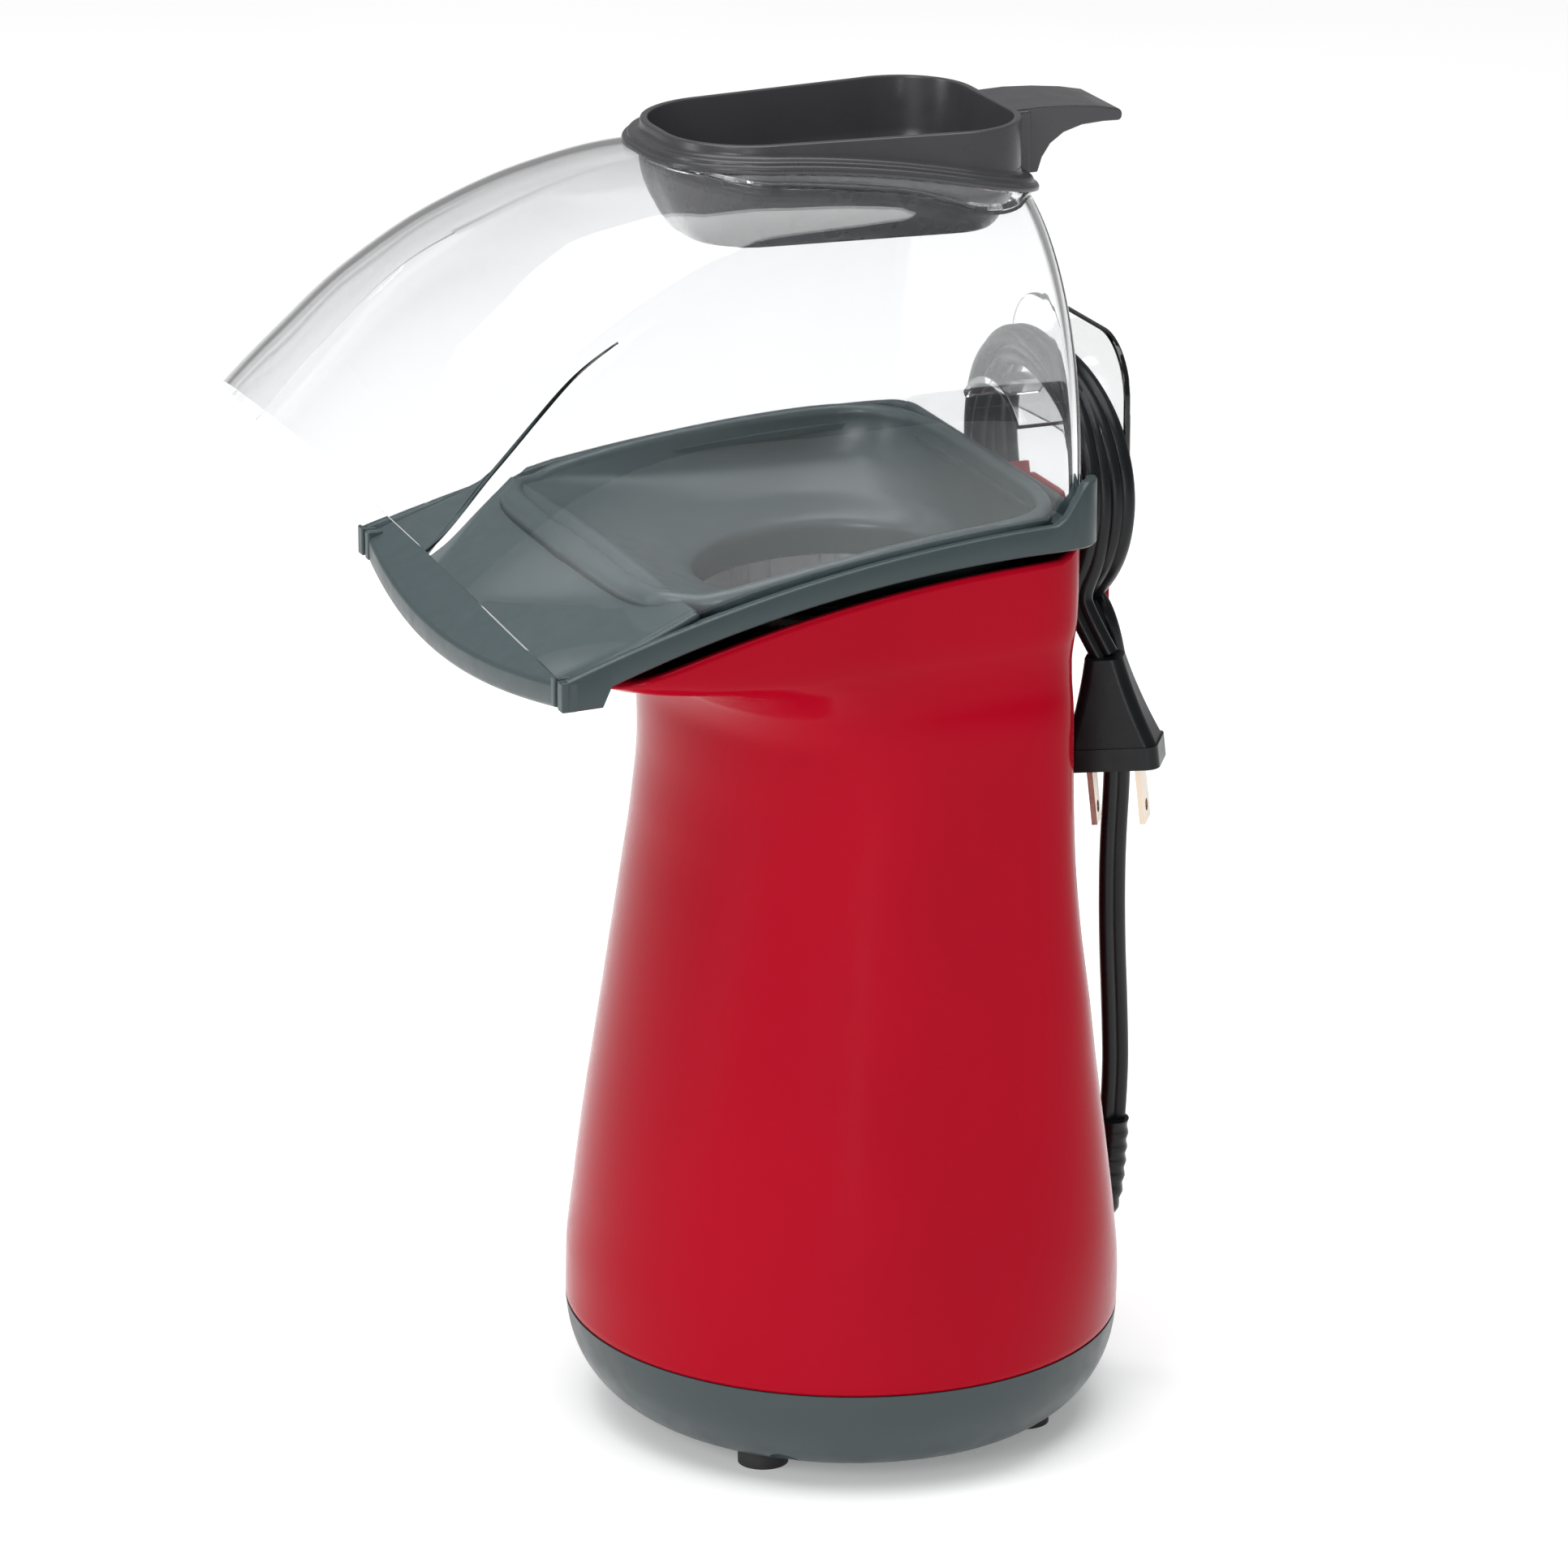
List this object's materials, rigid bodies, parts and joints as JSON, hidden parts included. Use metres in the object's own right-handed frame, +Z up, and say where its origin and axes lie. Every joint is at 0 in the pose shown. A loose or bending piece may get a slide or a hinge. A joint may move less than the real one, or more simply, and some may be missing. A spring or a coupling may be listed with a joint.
{
  "type": "hot-air popcorn maker",
  "caption": "Upright hot-air popcorn maker: flared tower on a round base, open chute tray, clear hood, lift-off measuring cup, and a cord wound on the back.",
  "frame": {"origin": "on the surface it stands on, under the middle of the object's length and width; the tower's axis is 43.1 mm behind it", "axes": "+Z up, chute towards -Y, cord wrap and cup handle towards +Y, +X to the right seen from the chute's side looking along +Y"},
  "size_m": [0.1524, 0.2394, 0.3492],
  "materials": {
    "red_shell": "high-gloss moulded red plastic",
    "slate_plastic": "fine-textured slate grey plastic",
    "clear_plastic": "clear moulded polycarbonate",
    "charcoal_plastic": "semi-gloss charcoal plastic",
    "foot_rubber": "moulded rubber",
    "screw_steel": "zinc-plated steel",
    "chamber_aluminium": "drawn aluminium",
    "silicone": "silicone gasket",
    "duct_plastic": "heat-resistant black plastic",
    "mica": "mica sheet",
    "heater_wire": "nichrome resistance wire",
    "device_metal": "plated steel case",
    "motor_steel": "zinc-plated steel",
    "motor_plastic": "glass-filled nylon",
    "bronze": "sintered bronze",
    "magnet": "ferrite",
    "winding": "copper windings on a steel core",
    "fan_plastic": "glass-filled nylon",
    "board": "glass-fibre board",
    "diode_black": "epoxy",
    "wire_insulation": "silicone-covered lead",
    "cord_black": "satin black PVC",
    "blade_nickel": "nickel-plated brass"
  },
  "bodies": {
    "base": {"base_housing": "red_shell", "bottom_cover": "slate_plastic", "feet": "foot_rubber", "bottom_screws": "screw_steel", "chute_tray": "slate_plastic", "popping_chamber": "chamber_aluminium", "chamber_gasket": "silicone", "heater_housing": "duct_plastic", "heat_shield": "mica", "mica_boards": "mica", "heating_coil": "heater_wire", "thermostat": "device_metal", "thermal_fuse": "device_metal", "fan_housing": "duct_plastic", "housing_screws": "screw_steel", "motor_can": "motor_steel", "motor_end_cap": "motor_plastic", "motor_bearings": "bronze", "motor_magnets": "magnet", "motor_screws": "screw_steel", "rectifier_board": "board", "diodes": "diode_black", "lead_wires": "wire_insulation", "strain_relief": "cord_black", "power_cord": "cord_black", "cord_coil": "cord_black", "cord_tail": "cord_black", "plug_body": "cord_black", "plug_blades": "blade_nickel"},
    "hood": {"cover": "clear_plastic"},
    "cup": {"measuring_cup": "charcoal_plastic"},
    "rotor": {"motor_shaft": "motor_steel", "motor_armature": "winding", "fan": "fan_plastic", "fan_clip": "screw_steel"}
  },
  "joints": [
    {"name": "cover_lift", "type": "slide", "parent": "base", "child": "hood", "axis": [0, 0, 1], "range_m": [0, 0.15], "deforming": ["cord_coil"]},
    {"name": "cup_lift", "type": "slide", "parent": "hood", "child": "cup", "axis": [0, 0, 1], "range_m": [0, 0.06]},
    {"name": "fan_spin", "type": "hinge", "parent": "base", "child": "rotor", "pos_m": [0, 0.0401, 0.08], "axis": [0, 0, 1], "continuous": true}
  ]
}
